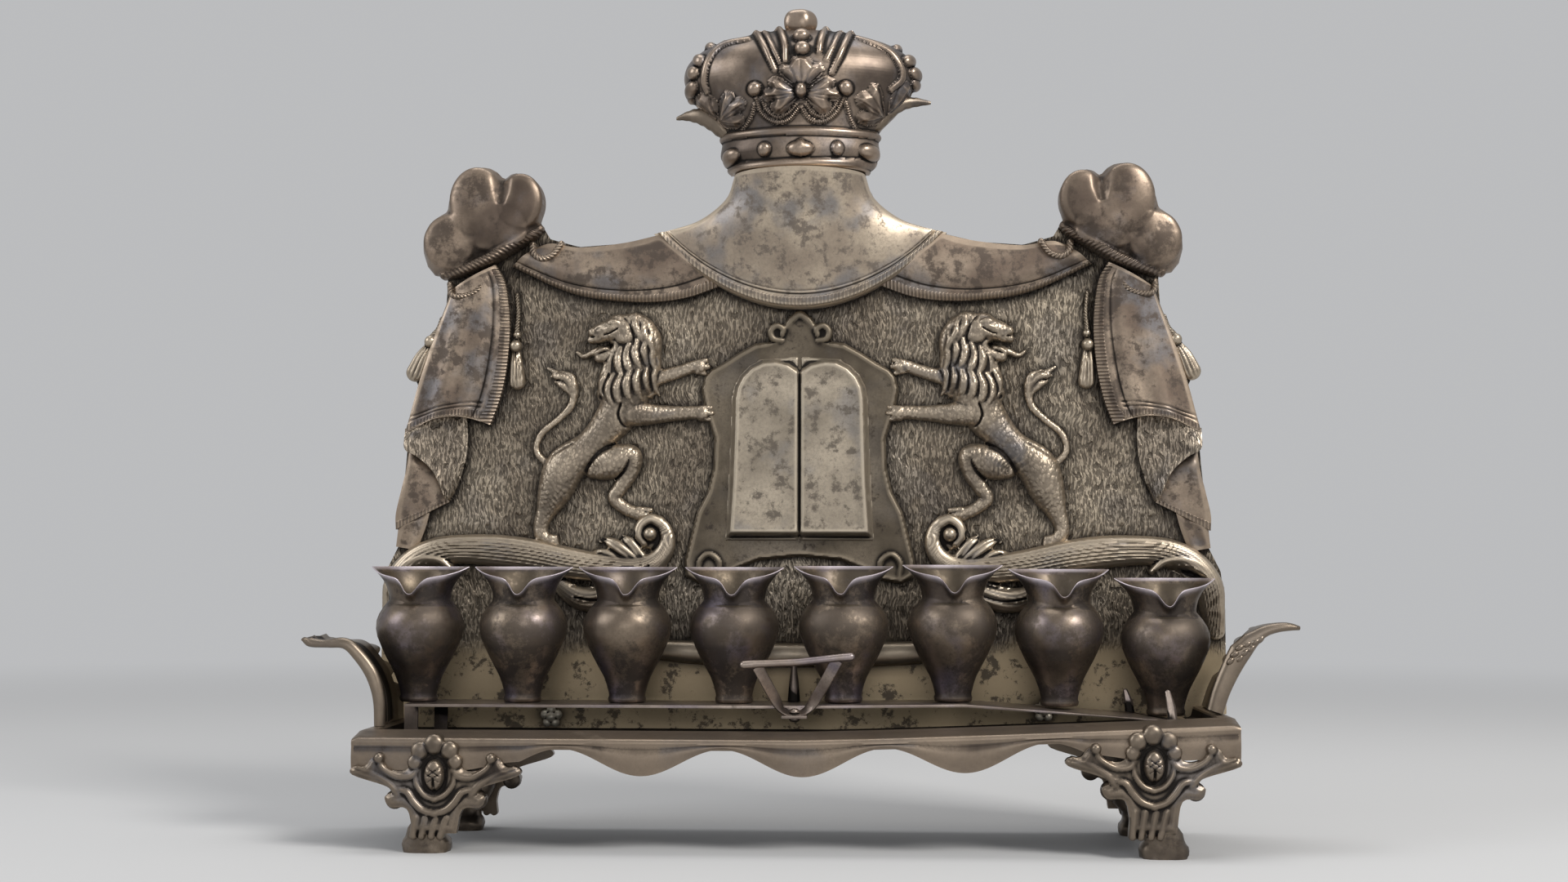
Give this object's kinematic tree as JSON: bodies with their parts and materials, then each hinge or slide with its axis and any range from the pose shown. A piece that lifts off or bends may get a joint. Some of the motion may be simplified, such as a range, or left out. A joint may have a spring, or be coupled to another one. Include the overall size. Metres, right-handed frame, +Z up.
{
  "type": "hanukkah lamp",
  "caption": "Footed bench oil lamp with a relief backplate under a crown, curled side arms and a lift-out rack of spouted oil jugs with a swivelling handle.",
  "frame": {"origin": "centre of the whole lamp's box in X and Y, on the surface that the feet stand on", "axes": "+X to the right seen from the front, +Y to the back, +Z up; the jugs and the relief face -Y"},
  "size_m": [0.3178, 0.0726, 0.2794],
  "materials": {
    "bench_silver": "aged tarnished silver, dark in the recesses and rubbed bright on the high parts",
    "cast_silver": "aged tarnished silver, dark in the recesses and rubbed bright on the high parts",
    "plate_silver": "aged tarnished silver, dark in the recesses and rubbed bright on the high parts",
    "jug_silver": "aged tarnished silver, dark in the recesses and rubbed bright on the high parts",
    "rack_silver": "aged tarnished silver, dark in the recesses and rubbed bright on the high parts",
    "relief_silver": "aged tarnished silver, dark in the recesses and rubbed bright on the high parts"
  },
  "bodies": {
    "lamp": {"bench_tray": "bench_silver", "foot_front_left": "cast_silver", "foot_front_right": "cast_silver", "foot_back_left": "cast_silver", "foot_back_right": "cast_silver", "arm_left": "cast_silver", "arm_right": "cast_silver", "backplate": "plate_silver", "mantle_bib": "relief_silver", "knot_left": "relief_silver", "swag_left": "relief_silver", "curtain_left": "relief_silver", "tassel_outer_left": "relief_silver", "tassel_inner_left": "relief_silver", "lion_left": "relief_silver", "scroll_left": "relief_silver", "knot_right": "relief_silver", "swag_right": "relief_silver", "curtain_right": "relief_silver", "tassel_outer_right": "relief_silver", "tassel_inner_right": "relief_silver", "lion_right": "relief_silver", "scroll_right": "relief_silver", "tablet_frame": "relief_silver", "tablets": "relief_silver", "base_moulding": "relief_silver", "crown": "relief_silver", "crown_orb": "relief_silver", "rosette_screw_left": "cast_silver", "rosette_screw_right": "cast_silver"},
    "rack": {"rack_plate": "rack_silver", "jug_1": "jug_silver", "jug_2": "jug_silver", "jug_3": "jug_silver", "jug_4": "jug_silver", "jug_5": "jug_silver", "jug_6": "jug_silver", "jug_7": "jug_silver", "jug_8": "jug_silver", "handle_rivet": "rack_silver"},
    "handle": {"handle_strap": "rack_silver", "handle_bar": "rack_silver"}
  },
  "joints": [
    {"name": "rack_lift", "type": "slide", "parent": "lamp", "child": "rack", "axis": [0, 0, 1], "range_m": [0, 0.06]},
    {"name": "handle_swivel", "type": "hinge", "parent": "rack", "child": "handle", "pos_m": [0, -0.011, 0.0419], "axis": [0, 0, 1], "range_deg": [-36, 20]}
  ]
}
